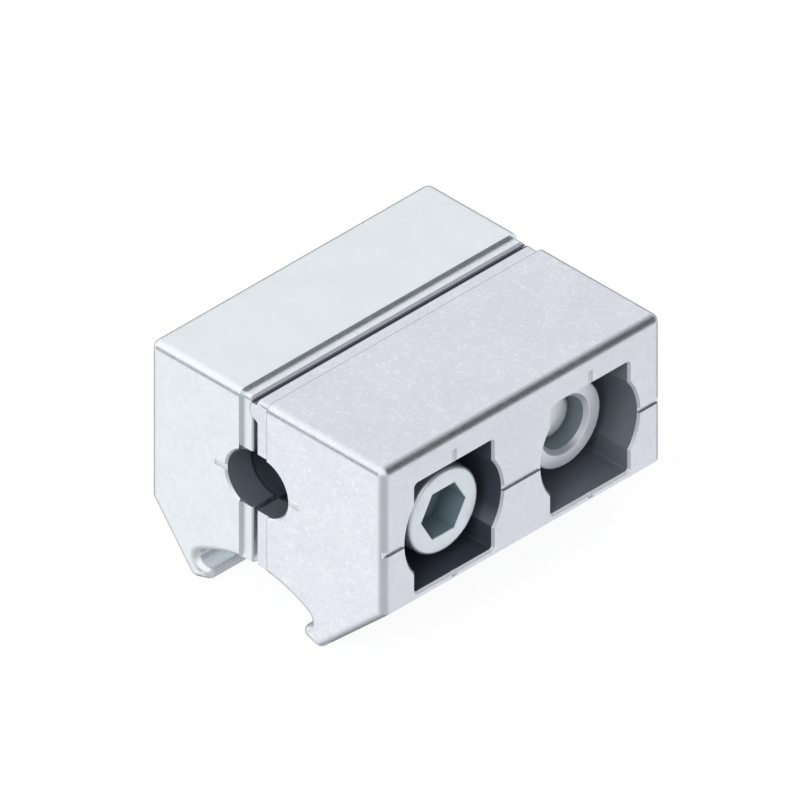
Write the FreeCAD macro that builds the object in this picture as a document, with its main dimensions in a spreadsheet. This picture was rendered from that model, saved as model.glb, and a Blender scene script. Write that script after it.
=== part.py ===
import FreeCAD, Part
import Sketcher
import math
import os

# Clamp block: two cast jaws rock on a bead at the top of their parting line, and two cap
# screws, put in from opposite sides, draw the hooked lower ends together round a rail.
#
# Every piece is drawn about one datum: x = 0 on the middle of the parting gap, y = 0 at
# mid length, z = 0 on the top faces. The Placements move it to the frame of the part:
# origin at the middle of the base, +X towards the wide jaw, +Y along the rail, +Z up.

SIZES = {
    # the two castings
    "block_length": 72.4,
    "block_height": 48.0,
    "wide_width": 33.45,
    "narrow_width": 26.0,
    "parting_gap": 1.25,
    "strip_recess": 0.75,
    "wide_strip": 3.05,
    "narrow_strip": 2.9,
    "edge_round": 1.65,
    "parting_round": 0.45,
    # the bead that the jaws rock on, and its groove
    "bead_radius": 2.05,
    "bead_cover": 0.45,
    "bead_root_round": 1.0,
    "bead_clearance": 0.1,
    "lip_chamfer": 0.7,
    # the hooks and the rail channel between them: a side height counts from the lower edge of
    # the openings, a nose offset from the channel's corner, and a tip offset from the nose
    "wide_side_height": 1.35,
    "narrow_side_height": 3.85,
    "wide_nose_offset": 2.15,
    "narrow_nose_offset": 3.55,
    "wide_tip_offset": 4.0,
    "narrow_tip_offset": 4.05,
    "wide_tip_round": 1.35,
    "narrow_tip_round": 2.0,
    "nose_height": 2.1,
    "nose_round": 1.25,
    "channel_width": 29.5,
    "channel_depth": 6.7,
    "arch_radius": 28.0,
    "channel_corner": 1.5,
    # the openings for the screws
    "screw_spacing": 35.4,
    "screw_depth": 19.0,
    "opening_diameter": 25.2,
    "opening_length": 20.1,
    "opening_height": 24.3,
    "opening_corner": 0.6,
    "opening_chamfer": 0.45,
    "wide_opening_depth": 14.8,
    "narrow_opening_depth": 15.6,
    "hole_clearance": 0.75,
    # the bore along the parting line and the chamber behind its end walls
    "bore_radius": 6.25,
    "bore_straight": 2.1,
    "bore_chamfer": 0.4,
    "end_wall": 6.4,
    "chamber_radius": 7.2,
    # the cast centre marks
    "mark_width": 1.2,
    "mark_depth": 0.4,
    "end_mark_length": 3.0,
    "side_mark_above": 3.1,
    "side_mark_below": 1.1,
    # the cap screws
    "screw_length": 35.0,
    "shank_diameter": 12.0,
    "core_diameter": 10.0,
    "head_diameter": 18.1,
    "head_height": 12.0,
    "head_chamfer": 0.45,
    "socket_flats": 10.0,
    "socket_depth": 6.0,
    "point_chamfer": 0.8,
    "thread_lead_gap": 1.5,
    # the threaded bushes
    "bush_diameter": 18.2,
    "bush_height": 8.3,
    "bush_mouth_chamfer": 0.85,
    "thread_clearance": 0.45,
}

SPARE = 2.0  # how far a cutting outline reaches past the metal
SLACK = 0.01  # how far an edge may lie outside the region that it is looked for in
TOUCH = 0.0001  # how closely two places agree that are the same


class Size:
    """A length that keeps its value together with the sheet formula that it comes from."""

    def __init__(self, value, formula):
        self.value = value
        self.formula = formula

    @staticmethod
    def of(thing):
        return thing if isinstance(thing, Size) else Size(float(thing), str(thing))

    def join(self, other, sign, value):
        return Size(value, f"({self.formula} {sign} {other.formula})")

    def __add__(self, other):
        other = Size.of(other)
        return self.join(other, "+", self.value + other.value)

    def __sub__(self, other):
        other = Size.of(other)
        return self.join(other, "-", self.value - other.value)

    def __mul__(self, other):
        other = Size.of(other)
        return self.join(other, "*", self.value * other.value)

    def __truediv__(self, other):
        other = Size.of(other)
        return self.join(other, "/", self.value / other.value)

    def __neg__(self):
        return Size(-self.value, f"(0 - {self.formula})")


def size(name):
    """A driving size of the sheet."""
    return Size(SIZES[name], f"sizes.{name}")


def write_sheet(doc):
    sheet = doc.addObject("Spreadsheet::Sheet", "sizes")
    for row, (name, value) in enumerate(SIZES.items(), start=1):
        sheet.set(f"A{row}", name)
        sheet.set(f"B{row}", str(value))
        sheet.setAlias(f"B{row}", name)
    doc.recompute()
    return sheet


# Sketch helpers. A point of a sketch is the pair (geometry number, end number).

START, END, CENTRE = range(1, 4)
ORIGIN = (-1, 1)


def new_sketch(body, name, plane, offset=None):
    """A sketch on one of the body's own planes, moved along the plane's normal by offset."""
    sketch = body.newObject("Sketcher::SketchObject", name)
    support = [item for item in body.Origin.OriginFeatures if item.Role == plane][0]
    sketch.AttachmentSupport = (support, "")
    sketch.MapMode = "FlatFace"
    if offset is not None:
        sketch.setExpression("AttachmentOffset.Base.z", offset.formula)
    return sketch


def bind(sketch, kind, *where, to):
    """A constraint whose value follows a formula of the sheet."""
    index = sketch.addConstraint(Sketcher.Constraint(kind, *where, to.value))
    sketch.setExpression(f"Constraints[{index}]", to.formula)


def fix(sketch, point, across=None, up=None):
    """Holds a point at its distances from the sketch's origin."""
    if across is not None:
        bind(sketch, "DistanceX", *ORIGIN, *point, to=across)
    if up is not None:
        bind(sketch, "DistanceY", *ORIGIN, *point, to=up)


def tie(sketch, kind, *where):
    sketch.addConstraint(Sketcher.Constraint(kind, *where))


def add_line(sketch, start, end, construction=False):
    vectors = (FreeCAD.Vector(*start, 0), FreeCAD.Vector(*end, 0))
    return sketch.addGeometry(Part.LineSegment(*vectors), construction)


def add_circle(sketch, centre, radius, construction=False):
    """A full circle held by its centre and radius, each of them a Size."""
    where = FreeCAD.Vector(centre[0].value, centre[1].value, 0)
    geometry = Part.Circle(where, FreeCAD.Vector(0, 0, 1), radius.value)
    circle = sketch.addGeometry(geometry, construction)
    fix(sketch, (circle, CENTRE), *centre)
    bind(sketch, "Radius", circle, to=radius)
    return circle


def add_arc(sketch, centre, start, end, turn):
    """An arc from start to end, turning left (1) or right (-1). Returns it and its two ends."""
    first, last = (start, end) if turn > 0 else (end, start)
    angles = [math.atan2(p[1] - centre[1], p[0] - centre[0]) for p in (first, last)]
    radius = math.dist(centre, start)
    circle = Part.Circle(FreeCAD.Vector(*centre, 0), FreeCAD.Vector(0, 0, 1), radius)
    arc = sketch.addGeometry(Part.ArcOfCircle(circle, *angles), False)
    ends = (START, END) if turn > 0 else (END, START)
    return arc, ends[0], ends[1]


def add_polygon(sketch, corners):
    """A closed outline of straight lines through corners, each a pair of Sizes."""
    places = [(across.value, up.value) for across, up in corners]
    lines = [add_line(sketch, places[i], places[(i + 1) % len(places)]) for i in range(len(places))]
    for i, line in enumerate(lines):
        tie(sketch, "Coincident", lines[i - 1], END, line, START)
        fix(sketch, (line, START), *corners[i])
    return lines


def add_rectangle(sketch, left, bottom, right, top):
    return add_polygon(sketch, [(left, bottom), (right, bottom), (right, top), (left, top)])


def tangent_points(first, second):
    """Where a straight line that leaves one circle touches it and the next.

    Each circle is (x, z, s). s is its radius, positive where it lies to the left of the
    line's way and negative where it lies to the right. With D from centre to centre and
    k = s2 - s1, the way is (Dx m + Dz k, Dz m - Dx k) / D.D, where m = sqrt(D.D - k k).
    """
    dx, dz, k = (second[i] - first[i] for i in range(3))
    square = dx * dx + dz * dz
    m = math.sqrt(square - k * k)
    ux, uz = (dx * m + dz * k) / square, (dz * m - dx * k) / square
    return [(x + s * uz, z - s * ux) for x, z, s in (first, second)]


# Feature helpers


def add_feature(body, kind, name, profile, length=None, symmetric=False, reverse=False):
    """A pad or pocket of a sketch. With no length it goes through all."""
    feature = body.newObject(f"PartDesign::{kind}", name)
    feature.Profile = profile
    feature.Reversed = reverse
    feature.SideType = "Symmetric" if symmetric else "One side"
    if length is None:
        feature.Type = "ThroughAll"
    else:
        feature.Type = "Length"
        feature.setExpression("Length", length.formula)
    body.Document.recompute()
    return feature


def add_dressing(body, kind, name, chosen, amount):
    """A fillet or chamfer on the edges of the body's last feature that chosen(edge) picks."""
    base = body.Tip
    names = [f"Edge{i}" for i, edge in enumerate(base.Shape.Edges, start=1) if chosen(edge)]
    feature = body.newObject(f"PartDesign::{kind}", name)
    feature.Base = (base, names)
    feature.setExpression("Radius" if kind == "Fillet" else "Size", amount.formula)
    body.Document.recompute()
    return feature


def add_pattern(body, name, originals, span):
    """A second copy of the originals, at a distance along the length."""
    pattern = body.newObject("PartDesign::LinearPattern", name)
    pattern.Originals = originals
    axis = [item for item in body.Origin.OriginFeatures if item.Role == "Y_Axis"][0]
    pattern.Direction = (axis, [""])
    pattern.Occurrences = 2
    pattern.setExpression("Length", span.formula)
    body.Tip = pattern
    body.Document.recompute()
    return pattern


def box_of(edge):
    """The edge's lowest and highest x, y and z."""
    box = edge.BoundBox
    return (box.XMin, box.XMax), (box.YMin, box.YMax), (box.ZMin, box.ZMax)


def near(value, goal):
    return abs(value - goal) < TOUCH


def flat_at(span, goal):
    """True where the whole span of an edge lies at goal."""
    return near(span[0], goal) and near(span[1], goal)


# Sizes that several pieces share

half_gap = size("parting_gap") / 2
half_length = size("block_length") / 2
half_spacing = size("screw_spacing") / 2
bead_depth = size("strip_recess") + size("bead_radius") + size("bead_cover")
hole_radius = size("shank_diameter") / 2 + size("hole_clearance")
thread_bore_radius = size("core_diameter") / 2 + size("thread_clearance")
wide_seat = half_gap + size("wide_width") - size("wide_opening_depth")
narrow_seat = half_gap + size("narrow_width") - size("narrow_opening_depth")
parting_x = (size("narrow_width") - size("wide_width")) / 2


class Jaw:
    """What differs between the two castings. hand is 1 for the wide one and -1 for the other."""

    def __init__(self, name, hand):
        self.name = f"{name}_jaw"
        self.hand = hand
        self.inner = half_gap
        self.step = half_gap + size(f"{name}_strip")
        self.side = half_gap + size(f"{name}_width")
        opening_foot = size("screw_depth") + size("opening_height") / 2
        self.side_height = opening_foot + size(f"{name}_side_height")
        self.nose = size("channel_width") / 2 - size(f"{name}_nose_offset")
        self.tip = self.nose + size(f"{name}_tip_offset")
        self.tip_round = size(f"{name}_tip_round")
        self.opening_depth = size(f"{name}_opening_depth")
        self.seat = self.side - self.opening_depth

    def across(self, distance):
        """A distance from the parting plane, on this jaw's side of it."""
        return distance if self.hand > 0 else -distance


def draw_profile(body, jaw):
    """End outline of a casting, with its half of the rail channel and its hook.

    It runs from the parting face along the arch through the channel's corner, the hook's
    flank, its nose and its bevel to the rounding of the tip, up the slope and the side, and
    back over the top.
    """
    sketch = new_sketch(body, "profile", "XZ_Plane")
    hand = jaw.hand
    arch_r, corner_r = size("arch_radius"), size("channel_corner")
    nose_r, tip_r = size("nose_round"), jaw.tip_round
    corner_x = size("channel_width") / 2 - corner_r
    corner_z = size("channel_depth") - corner_r - size("block_height")
    nose_x = jaw.nose + nose_r
    nose_z = size("nose_height") - size("block_height")
    tip_x, tip_z = jaw.tip, tip_r - size("block_height")

    # the corner's circle lies inside the arch and touches it
    reach = arch_r.value - corner_r.value
    arch_z = corner_z.value - math.sqrt(reach ** 2 - corner_x.value ** 2)
    scale = arch_r.value / reach
    meet = (corner_x.value * scale, arch_z + (corner_z.value - arch_z) * scale)
    root = (jaw.inner.value, arch_z + math.sqrt(arch_r.value ** 2 - jaw.inner.value ** 2))
    foot = (jaw.side.value, -jaw.side_height.value, 0.0)
    corner_circle = (corner_x.value, corner_z.value, -corner_r.value)
    nose_circle = (nose_x.value, nose_z.value, nose_r.value)
    tip_circle = (tip_x.value, tip_z.value, tip_r.value)
    flank_ends = tangent_points(corner_circle, nose_circle)
    bevel_ends = tangent_points(nose_circle, tip_circle)
    slope_ends = tangent_points(tip_circle, foot)

    def seen(point):
        return hand * point[0], point[1]

    arch, arch_start, arch_end = add_arc(
        sketch, (0.0, arch_z), seen(root), seen(meet), -hand)
    corner, corner_start, corner_end = add_arc(
        sketch, seen(corner_circle), seen(meet), seen(flank_ends[0]), -hand)
    flank = add_line(sketch, seen(flank_ends[0]), seen(flank_ends[1]))
    nose, nose_start, nose_end = add_arc(
        sketch, seen(nose_circle), seen(flank_ends[1]), seen(bevel_ends[0]), hand)
    bevel = add_line(sketch, seen(bevel_ends[0]), seen(bevel_ends[1]))
    tip, tip_start, tip_end = add_arc(
        sketch, seen(tip_circle), seen(bevel_ends[1]), seen(slope_ends[0]), hand)
    slope = add_line(sketch, seen(slope_ends[0]), seen(foot))

    fix(sketch, (arch, CENTRE), across=Size.of(0))
    bind(sketch, "Radius", arch, to=arch_r)
    tie(sketch, "Tangent", arch, arch_end, corner, corner_start)
    bind(sketch, "Radius", corner, to=corner_r)
    fix(sketch, (corner, CENTRE), jaw.across(corner_x), corner_z)
    tie(sketch, "Tangent", corner, corner_end, flank, START)
    tie(sketch, "Tangent", flank, END, nose, nose_start)
    bind(sketch, "Radius", nose, to=nose_r)
    fix(sketch, (nose, CENTRE), jaw.across(nose_x), nose_z)
    tie(sketch, "Tangent", nose, nose_end, bevel, START)
    tie(sketch, "Tangent", bevel, END, tip, tip_start)
    bind(sketch, "Radius", tip, to=tip_r)
    fix(sketch, (tip, CENTRE), jaw.across(tip_x), tip_z)
    tie(sketch, "Tangent", tip, tip_end, slope, START)

    top = Size.of(0)
    corners = [(jaw.side, -jaw.side_height), (jaw.side, top), (jaw.inner, top)]
    places = [seen((x.value, z.value)) for x, z in corners] + [seen(root)]
    last = slope
    for i, (x, z) in enumerate(corners):
        line = add_line(sketch, places[i], places[i + 1])
        tie(sketch, "Coincident", last, END, line, START)
        fix(sketch, (line, START), jaw.across(x), z)
        last = line
    tie(sketch, "Coincident", last, END, arch, arch_start)
    tie(sketch, "Vertical", last)
    return sketch


def draw_strip(body):
    """What lies above and beyond the strip beside the parting line.

    The strip is sunk by the same depth below the top and both ends, and follows the rounding
    between them, so its corners have what is left of that radius.
    """
    sketch = new_sketch(body, "strip_outline", "YZ_Plane")
    recess = size("strip_recess")
    corner = size("edge_round") - recess
    end, level = half_length - recess, -recess
    past, below = half_length + SPARE, -(size("block_height") + SPARE)
    above = Size.of(SPARE)
    bend_y, bend_z = end - corner, level - corner
    y, z, low = bend_y.value, bend_z.value, below.value

    right = add_line(sketch, (end.value, low), (end.value, z))
    arc, arc_start, arc_end = add_arc(sketch, (y, z), (end.value, z), (y, level.value), 1)
    top = add_line(sketch, (y, level.value), (-y, level.value))
    bend, bend_start, bend_end = add_arc(sketch, (-y, z), (-y, level.value), (-end.value, z), 1)
    left = add_line(sketch, (-end.value, z), (-end.value, low))
    tie(sketch, "Tangent", right, END, arc, arc_start)
    tie(sketch, "Tangent", arc, arc_end, top, START)
    tie(sketch, "Tangent", top, END, bend, bend_start)
    tie(sketch, "Tangent", bend, bend_end, left, START)
    bind(sketch, "Radius", arc, to=corner)
    bind(sketch, "Radius", bend, to=corner)
    fix(sketch, (arc, CENTRE), bend_y, bend_z)
    fix(sketch, (bend, CENTRE), -bend_y, bend_z)

    corners = [
        (-end, below),
        (-past, below),
        (-past, above),
        (past, above),
        (past, below),
        (end, below),
    ]
    places = [(across.value, up.value) for across, up in corners]
    last = left
    for i, (across, up) in enumerate(corners[:-1]):
        line = add_line(sketch, places[i], places[i + 1])
        tie(sketch, "Coincident", last, END, line, START)
        fix(sketch, (line, START), across, up)
        last = line
    tie(sketch, "Coincident", last, END, right, START)
    fix(sketch, (right, START), *corners[-1])
    return sketch


def outer_edge(jaw):
    """Picks the outline of both ends, apart from the parting face, and the long upper edge."""
    side = jaw.hand * jaw.side.value
    inner = jaw.hand * jaw.inner.value
    end = half_length.value

    def chosen(edge):
        x, y, z = box_of(edge)
        end_outline = (flat_at(y, end) or flat_at(y, -end)) and not flat_at(x, inner)
        long_edge = flat_at(x, side) and flat_at(z, 0.0)
        return end_outline or long_edge

    return chosen


def draw_opening(body, jaw, place):
    """A rectangle whose upright sides bulge out as arcs of one circle about the screw."""
    sketch = new_sketch(body, "opening_outline", "YZ_Plane", jaw.across(jaw.side))
    level = -size("screw_depth")
    radius = size("opening_diameter") / 2
    half_l, half_h = size("opening_length") / 2, size("opening_height") / 2
    corner = size("opening_corner")
    y0, z0 = place.value, level.value
    a, b, r = half_l.value, half_h.value, corner.value
    rise = math.sqrt(radius.value ** 2 - a ** 2)

    def seen(across, up):
        return y0 + across, z0 + up

    top = add_line(sketch, seen(a - r, b), seen(r - a, b))
    bottom = add_line(sketch, seen(r - a, -b), seen(a - r, -b))
    tie(sketch, "Horizontal", top)
    tie(sketch, "Horizontal", bottom)
    fix(sketch, (top, START), up=level + half_h)
    fix(sketch, (bottom, START), up=level - half_h)
    for side in (1, -1):
        flat, bow = side * a, side * (a - r)
        upper = add_line(sketch, seen(flat, rise), seen(flat, b - r))
        lower = add_line(sketch, seen(flat, r - b), seen(flat, -rise))
        bulge, bulge_low, bulge_high = add_arc(
            sketch, seen(0, 0), seen(flat, -rise), seen(flat, rise), side)
        above, above_low, above_high = add_arc(
            sketch, seen(bow, b - r), seen(flat, b - r), seen(bow, b), side)
        below, below_low, below_high = add_arc(
            sketch, seen(bow, r - b), seen(bow, -b), seen(flat, r - b), side)
        tie(sketch, "Vertical", upper)
        tie(sketch, "Vertical", lower)
        fix(sketch, (upper, START), across=place + half_l * side)
        fix(sketch, (lower, START), across=place + half_l * side)
        fix(sketch, (bulge, CENTRE), place, level)
        bind(sketch, "Radius", bulge, to=radius)
        tie(sketch, "Coincident", bulge, bulge_high, upper, START)
        tie(sketch, "Coincident", bulge, bulge_low, lower, END)
        tie(sketch, "Tangent", upper, END, above, above_low)
        tie(sketch, "Tangent", above, above_high, top, START if side > 0 else END)
        tie(sketch, "Tangent", below, below_high, lower, START)
        tie(sketch, "Tangent", below, below_low, bottom, END if side > 0 else START)
        bind(sketch, "Radius", above, to=corner)
        bind(sketch, "Radius", below, to=corner)
    return sketch


def draw_screw_circle(body, jaw, name, place, depth, radius):
    """A circle about a screw's axis, on a plane at a depth below the side face."""
    sketch = new_sketch(body, name, "YZ_Plane", jaw.across(jaw.side - depth))
    add_circle(sketch, (place, -size("screw_depth")), radius)
    return sketch


def draw_half_bore(body, jaw, name, radius):
    """A half circle and, in the wide jaw, a short straight run from it to the parting face."""
    sketch = new_sketch(body, name, "XZ_Plane")
    hand = jaw.hand
    level = -size("screw_depth")
    centre = jaw.inner + size("bore_straight") if hand > 0 else jaw.inner
    x, z, r = hand * centre.value, level.value, radius.value
    past = jaw.inner - SPARE
    arc, low, high = add_arc(sketch, (x, z), (x, z - r), (x, z + r), hand)
    upper = add_line(sketch, (x, z + r), (hand * past.value, z + r))
    back = add_line(sketch, (hand * past.value, z + r), (hand * past.value, z - r))
    lower = add_line(sketch, (hand * past.value, z - r), (x, z - r))
    fix(sketch, (arc, CENTRE), jaw.across(centre), level)
    bind(sketch, "Radius", arc, to=radius)
    tie(sketch, "Tangent", arc, high, upper, START)
    tie(sketch, "Tangent", lower, END, arc, low)
    tie(sketch, "Coincident", upper, END, back, START)
    tie(sketch, "Coincident", back, END, lower, START)
    tie(sketch, "Vertical", back)
    tie(sketch, "Horizontal", upper)
    tie(sketch, "Horizontal", lower)
    fix(sketch, (back, START), across=jaw.across(past))
    return sketch


def rim(axis, goals, reach):
    """Picks the edges in planes across one axis that lie within reach of the screws' level."""
    level = -SIZES["screw_depth"]

    def chosen(edge):
        spans = box_of(edge)
        low, high = spans[2]
        inside = low > level - reach - SLACK and high < level + reach + SLACK
        return inside and any(flat_at(spans[axis], goal) for goal in goals)

    return chosen


def draw_side_marks(body, jaw):
    """The cast centre line along the side, at the screws' level."""
    sketch = new_sketch(body, "side_mark_outline", "YZ_Plane", jaw.across(jaw.side))
    level = -size("screw_depth")
    half_mark = size("mark_width") / 2
    past = half_length + SPARE
    add_rectangle(sketch, -past, level - half_mark, past, level + half_mark)
    return sketch


def draw_upright_mark(body, jaw, place):
    """The cast centre line up the side at a screw, past both ends of its opening."""
    sketch = new_sketch(body, "upright_mark_outline", "YZ_Plane", jaw.across(jaw.side))
    half_mark = size("mark_width") / 2
    half_h = size("opening_height") / 2
    low = -(size("screw_depth") + half_h + size("side_mark_below"))
    high = -(size("screw_depth") - half_h - size("side_mark_above"))
    add_rectangle(sketch, place - half_mark, low, place + half_mark, high)
    return sketch


def draw_end_mark(body, jaw, end):
    """A short centre line beside the bore, in the end face."""
    sketch = new_sketch(body, "end_mark_outline", "XZ_Plane", half_length * -end)
    half_mark = size("mark_width") / 2
    level = -size("screw_depth")
    reach = jaw.inner + size("bore_radius") + size("end_mark_length")
    if jaw.hand > 0:
        reach = reach + size("bore_straight")
        add_rectangle(sketch, jaw.inner, level - half_mark, reach, level + half_mark)
    else:
        add_rectangle(sketch, -reach, level - half_mark, -jaw.inner, level + half_mark)
    return sketch


def place_casting(body):
    body.setExpression("Placement.Base.x", parting_x.formula)
    body.setExpression("Placement.Base.z", size("block_height").formula)


def make_jaw(doc, jaw):
    """One casting, up to what the two have in common."""
    body = doc.addObject("PartDesign::Body", jaw.name)
    body.Label = jaw.name
    outward = jaw.hand < 0
    add_feature(body, "Pad", "blank", draw_profile(body, jaw), size("block_length"), symmetric=True)
    add_dressing(body, "Fillet", "outer_rounding", outer_edge(jaw), size("edge_round"))
    add_feature(body, "Pocket", "strip", draw_strip(body), jaw.step, reverse=not outward)
    first = -half_spacing
    opening = add_feature(body, "Pocket", "screw_opening", draw_opening(body, jaw, first),
                          jaw.opening_depth, reverse=outward)
    hole_sketch = draw_screw_circle(body, jaw, "hole_outline", first, jaw.opening_depth, hole_radius)
    hole = add_feature(body, "Pocket", "screw_hole", hole_sketch, jaw.seat, reverse=outward)
    add_pattern(body, "both_screws", [opening, hole], half_spacing * 2)
    bore = draw_half_bore(body, jaw, "bore_outline", size("bore_radius"))
    add_feature(body, "Pocket", "bore", bore, symmetric=True)
    chamber = draw_half_bore(body, jaw, "chamber_outline", size("chamber_radius"))
    inside = size("block_length") - size("end_wall") * 2
    add_feature(body, "Pocket", "chamber", chamber, inside, symmetric=True)
    opening_rim = rim(0, [jaw.hand * jaw.side.value], SIZES["opening_height"] / 2)
    add_dressing(body, "Chamfer", "opening_edges", opening_rim, size("opening_chamfer"))
    bore_rim = rim(1, [-half_length.value, half_length.value], SIZES["bore_radius"])
    add_dressing(body, "Chamfer", "bore_edges", bore_rim, size("bore_chamfer"))
    side_marks = draw_side_marks(body, jaw)
    add_feature(body, "Pocket", "side_mark", side_marks, size("mark_depth"), reverse=outward)
    upright = draw_upright_mark(body, jaw, first)
    mark = add_feature(body, "Pocket", "upright_mark", upright, size("mark_depth"), reverse=outward)
    add_pattern(body, "both_marks", [mark], half_spacing * 2)
    for end in (-1, 1):
        sketch = draw_end_mark(body, jaw, end)
        add_feature(body, "Pocket", "end_mark", sketch, size("mark_depth"), reverse=end > 0)
    place_casting(body)
    return body


def add_bead(body):
    """The half-round bead on the wide jaw's parting face, as long as the strip beside it."""
    sketch = new_sketch(body, "bead_outline", "XZ_Plane")
    add_circle(sketch, (half_gap, -bead_depth), size("bead_radius"))
    length = size("block_length") - size("strip_recess") * 2
    add_feature(body, "Pad", "bead", sketch, length, symmetric=True)
    root = -bead_depth.value - SIZES["bead_radius"]

    def chosen(edge):
        x, y, z = box_of(edge)
        return flat_at(x, half_gap.value) and flat_at(z, root)

    add_dressing(body, "Fillet", "bead_root", chosen, size("bead_root_round"))


def add_groove(body):
    """The narrow jaw's groove, about the bead's own axis and wider by the clearance.

    The lip between the groove and the strip is bevelled, and the ends of the parting face
    are rounded off.
    """
    lip, level = size("lip_chamfer"), -size("strip_recess")
    bevel = new_sketch(body, "lip_outline", "XZ_Plane")
    add_polygon(bevel, [
        (-half_gap - lip, level),
        (-half_gap, level - lip),
        (half_gap, level - lip),
        (half_gap, Size.of(SPARE)),
        (-half_gap - lip, Size.of(SPARE)),
    ])
    add_feature(body, "Pocket", "lip", bevel, symmetric=True)
    sketch = new_sketch(body, "groove_outline", "XZ_Plane")
    radius = size("bead_radius") + size("bead_clearance")
    add_circle(sketch, (half_gap, -bead_depth), radius)
    add_feature(body, "Pocket", "groove", sketch, symmetric=True)
    end = half_length.value - SIZES["strip_recess"]

    def chosen(edge):
        x, y, z = box_of(edge)
        return flat_at(x, -half_gap.value) and (flat_at(y, end) or flat_at(y, -end))

    add_dressing(body, "Fillet", "parting_ends", chosen, size("parting_round"))


def make_screw(doc, name):
    """A hexagon socket cap screw along +X, its head's bearing face at x = 0."""
    body = doc.addObject("PartDesign::Body", name)
    body.Label = name
    sketch = new_sketch(body, "screw_outline", "XZ_Plane")
    head_r, head_h = size("head_diameter") / 2, size("head_height")
    shank_r, core_r = size("shank_diameter") / 2, size("core_diameter") / 2
    grip = wide_seat + narrow_seat - size("thread_lead_gap")
    edge, point = size("head_chamfer"), size("point_chamfer")
    length = size("screw_length")
    zero = Size.of(0)
    add_polygon(sketch, [
        (-length, zero),
        (head_h, zero),
        (head_h, head_r - edge),
        (head_h - edge, head_r),
        (zero, head_r),
        (zero, shank_r),
        (-grip, shank_r),
        (-grip, core_r),
        (-length + point, core_r),
        (-length, core_r - point),
    ])
    revolve(body, "turned", sketch)
    flats = new_sketch(body, "socket_outline", "YZ_Plane", head_h)
    corner = size("socket_flats") / math.sqrt(3)
    half_flats = size("socket_flats") / 2
    add_polygon(flats, [
        (corner, zero),
        (corner / 2, half_flats),
        (-corner / 2, half_flats),
        (-corner, zero),
        (-corner / 2, -half_flats),
        (corner / 2, -half_flats),
    ])
    add_feature(body, "Pocket", "socket", flats, size("socket_depth"))
    return body


def make_bush(doc, name):
    """A threaded bush along +X, a thick ring that seats at x = 0, its bore countersunk."""
    body = doc.addObject("PartDesign::Body", name)
    body.Label = name
    sketch = new_sketch(body, "bush_outline", "XZ_Plane")
    outer, high = size("bush_diameter") / 2, size("bush_height")
    mouth = size("bush_mouth_chamfer")
    foot = Size.of(0)
    add_polygon(sketch, [
        (foot, thread_bore_radius),
        (high - mouth, thread_bore_radius),
        (high, thread_bore_radius + mouth),
        (high, outer),
        (foot, outer),
    ])
    revolve(body, "turned", sketch)
    return body


def revolve(body, name, sketch):
    feature = body.newObject("PartDesign::Revolution", name)
    feature.Profile = sketch
    axis = [item for item in body.Origin.OriginFeatures if item.Role == "X_Axis"][0]
    feature.ReferenceAxis = (axis, [""])
    feature.Angle = 360.0
    body.Document.recompute()


def seat_fastener(body, jaw, place):
    """Sets a screw or bush on the seat in a jaw's opening, facing out of that jaw."""
    if jaw.hand < 0:
        body.Placement.Rotation = FreeCAD.Rotation(FreeCAD.Vector(0, 0, 1), 180)
    body.setExpression("Placement.Base.x", (parting_x + jaw.across(jaw.seat)).formula)
    body.setExpression("Placement.Base.y", place.formula)
    body.setExpression("Placement.Base.z", (size("block_height") - size("screw_depth")).formula)


def main():
    doc = FreeCAD.newDocument("clamp_block")
    write_sheet(doc)
    front, rear = -half_spacing, half_spacing
    wide, narrow = Jaw("wide", 1), Jaw("narrow", -1)

    wide_jaw = make_jaw(doc, wide)
    add_bead(wide_jaw)
    narrow_jaw = make_jaw(doc, narrow)
    add_groove(narrow_jaw)
    front_screw = make_screw(doc, "front_screw")
    seat_fastener(front_screw, wide, front)
    front_bush = make_bush(doc, "front_bush")
    seat_fastener(front_bush, narrow, front)
    rear_screw = make_screw(doc, "rear_screw")
    seat_fastener(rear_screw, narrow, rear)
    rear_bush = make_bush(doc, "rear_bush")
    seat_fastener(rear_bush, wide, rear)
    pieces = [wide_jaw, narrow_jaw, front_screw, front_bush, rear_screw, rear_bush]
    doc.recompute()

    for item in doc.Objects:
        if "Invalid" in item.State or "Error" in item.State:
            raise RuntimeError(f"{item.Label} did not compute: {item.State}")
    for piece in pieces:
        if piece.Shape.isNull() or not piece.Shape.isValid() or len(piece.Shape.Solids) != 1:
            raise RuntimeError(f"{piece.Label} is not one valid solid")
    os.makedirs("parts", exist_ok=True)
    for piece in pieces:
        piece.Shape.exportStep(f"parts/{piece.Label}.step")
        box = piece.Shape.BoundBox
        print(f"{piece.Label}: {piece.Shape.Volume:.0f} mm3, x {box.XMin:.2f} to {box.XMax:.2f}, "
              f"y {box.YMin:.2f} to {box.YMax:.2f}, z {box.ZMin:.2f} to {box.ZMax:.2f}")


main()
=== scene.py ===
# %% [markdown]
# A clamp block, dressed for its portrait
#
# The object is a pair of die-cast aluminium jaws held together by two socket head cap screws.
# The shapes of the castings come ready from the CAD frame. What is left for this lesson is the
# light of a small product studio, the finishes of cast and plated metal, and four small turned
# parts that are rebuilt as smooth surfaces: the two screws and the two bushes. Their soft edges
# and the thread are finer than the CAD solids show.
#
# Each step is a short cell. Lengths are metres, as everywhere in Blender, and MM turns a
# length in millimetres into one.

# %% Load the frame and measure it
import math

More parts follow.
